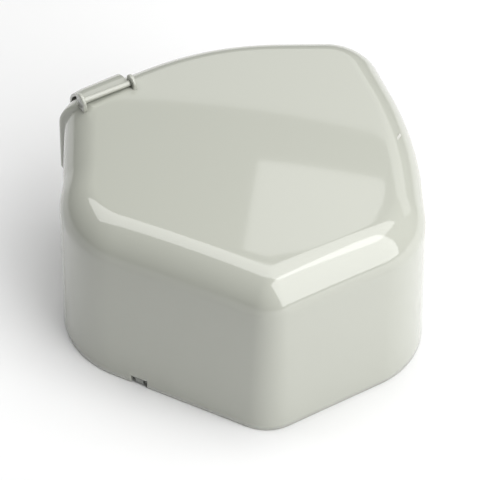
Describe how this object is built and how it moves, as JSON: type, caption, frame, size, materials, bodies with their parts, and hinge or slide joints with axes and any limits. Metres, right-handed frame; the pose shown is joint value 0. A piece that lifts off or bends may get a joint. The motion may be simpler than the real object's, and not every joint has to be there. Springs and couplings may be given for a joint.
{
  "type": "garage door opener",
  "caption": "Garage door opener power head: glossy faceted dome cover with hinged flap over a worm-drive motor, control board, lamp and rail socket.",
  "frame": {"origin": "centre of the four ceiling bolt holes, on the plate's mounting face", "axes": "+Z out of the mounting face towards the top of the dome, +Y towards the rail, front face looking to -Y, +X across"},
  "size_m": [0.2914, 0.2737, 0.1474],
  "materials": {
    "gloss_white": "polished, faintly warm white",
    "tab_grey": "satin",
    "steel": "bright",
    "zinc_plate": "zinc plated",
    "gear_nylon": "natural nylon",
    "sprocket_steel": "oiled",
    "case_aluminium": "cast",
    "bronze": "plain",
    "can_paint": "satin dark",
    "magnet": "matt",
    "lamination": "stacked sheet",
    "copper": "copper",
    "coil_wrap": "taped",
    "black_plastic": "satin",
    "porcelain": "smooth",
    "lamp_glass": "clear",
    "lamp_metal": "plain",
    "board_green": "lacquered",
    "relay_blue": "satin",
    "button_grey": "satin",
    "button_amber": "satin"
  },
  "bodies": {
    "chassis": {"base_plate": "zinc_plate", "board_connectors": "porcelain", "board_standoffs": "porcelain", "brush_holders": "bronze", "control_board": "board_green", "encoder_sensor": "black_plastic", "fuse_clips": "bronze", "gear_case_lower": "case_aluminium", "gear_case_screws": "steel", "gear_case_upper": "case_aluminium", "glass_fuse": "lamp_glass", "heat_sink": "case_aluminium", "inlet_blades": "bronze", "lamp_bulb": "lamp_glass", "lamp_cap": "lamp_metal", "lamp_holder": "porcelain", "latch_keeper": "steel", "latch_spring": "steel", "mains_inlet": "black_plastic", "microcontroller": "black_plastic", "motor_bearings": "steel", "motor_brushes": "magnet", "motor_can": "can_paint", "motor_front_bell": "case_aluminium", "motor_magnets": "magnet", "motor_rear_cap": "can_paint", "motor_saddle": "zinc_plate", "motor_straps": "steel", "panel_bracket": "steel", "panel_switches": "black_plastic", "radio_module": "board_green", "rail_channel": "zinc_plate", "rail_clamp_bolts": "steel", "relays": "relay_blue", "setup_panel": "porcelain", "shaft_bushes": "bronze", "smoothing_capacitors": "case_aluminium", "strap_screws": "steel", "terminal_block": "relay_blue", "terminal_screws": "steel", "transformer_bracket": "zinc_plate", "transformer_coil": "coil_wrap", "transformer_core": "lamination"},
    "cover": {"top_cover": "gloss_white", "hinge_pin": "steel"},
    "flap": {"access_flap": "gloss_white"},
    "latch": {"cover_latch": "tab_grey"},
    "rotor": {"rotor_shaft": "steel", "rotor_core": "lamination", "rotor_windings": "copper", "commutator": "copper", "encoder_disc": "black_plastic"},
    "output": {"output_shaft": "steel", "worm_wheel": "gear_nylon", "drive_sprocket": "sprocket_steel"},
    "up_button": {"button_up": "button_grey"},
    "learn_button": {"button_learn": "button_amber"},
    "down_button": {"button_down": "button_grey"},
    "travel_dial": {"dial_travel": "black_plastic"},
    "force_dial": {"dial_force": "black_plastic"}
  },
  "joints": [
    {"name": "cover_lift", "type": "slide", "parent": "chassis", "child": "cover", "axis": [0, 0, 1], "range_m": [0, 0.16]},
    {"name": "flap_hinge", "type": "hinge", "parent": "cover", "child": "flap", "pos_m": [-0.10368, 0.00554, 0.1414], "axis": [0.5702, 0.8215, 0], "range_deg": [0, 100]},
    {"name": "latch_press", "type": "slide", "parent": "chassis", "child": "latch", "axis": [0, 1, 0], "range_m": [0, 0.003], "stiffness_N_per_m": 500, "deforming": ["latch_spring"]},
    {"name": "rotor_spin", "type": "hinge", "parent": "chassis", "child": "rotor", "pos_m": [0.034, 0.0165, 0.046], "axis": [1, 0, 0], "continuous": true},
    {"name": "output_spin", "type": "hinge", "parent": "chassis", "child": "output", "pos_m": [0.034, 0.053, 0.046], "axis": [0, 0, 1], "continuous": true},
    {"name": "press_up", "type": "slide", "parent": "chassis", "child": "up_button", "axis": [0.8215, -0.5702, 0], "range_m": [0, 0.0015], "stiffness_N_per_m": 500},
    {"name": "press_learn", "type": "slide", "parent": "chassis", "child": "learn_button", "axis": [0.8215, -0.5702, 0], "range_m": [0, 0.0015], "stiffness_N_per_m": 500},
    {"name": "press_down", "type": "slide", "parent": "chassis", "child": "down_button", "axis": [0.8215, -0.5702, 0], "range_m": [0, 0.0015], "stiffness_N_per_m": 500},
    {"name": "travel_turn", "type": "hinge", "parent": "chassis", "child": "travel_dial", "pos_m": [-0.12164, 0.00949, 0.077], "axis": [-0.8215, 0.5702, 0], "range_deg": [-135, 135]},
    {"name": "force_turn", "type": "hinge", "parent": "chassis", "child": "force_dial", "pos_m": [-0.11366, 0.02099, 0.077], "axis": [-0.8215, 0.5702, 0], "range_deg": [-135, 135]}
  ],
  "couplings": [
    {"joint": "output_spin", "follows": "rotor_spin", "ratio": -0.033333}
  ]
}
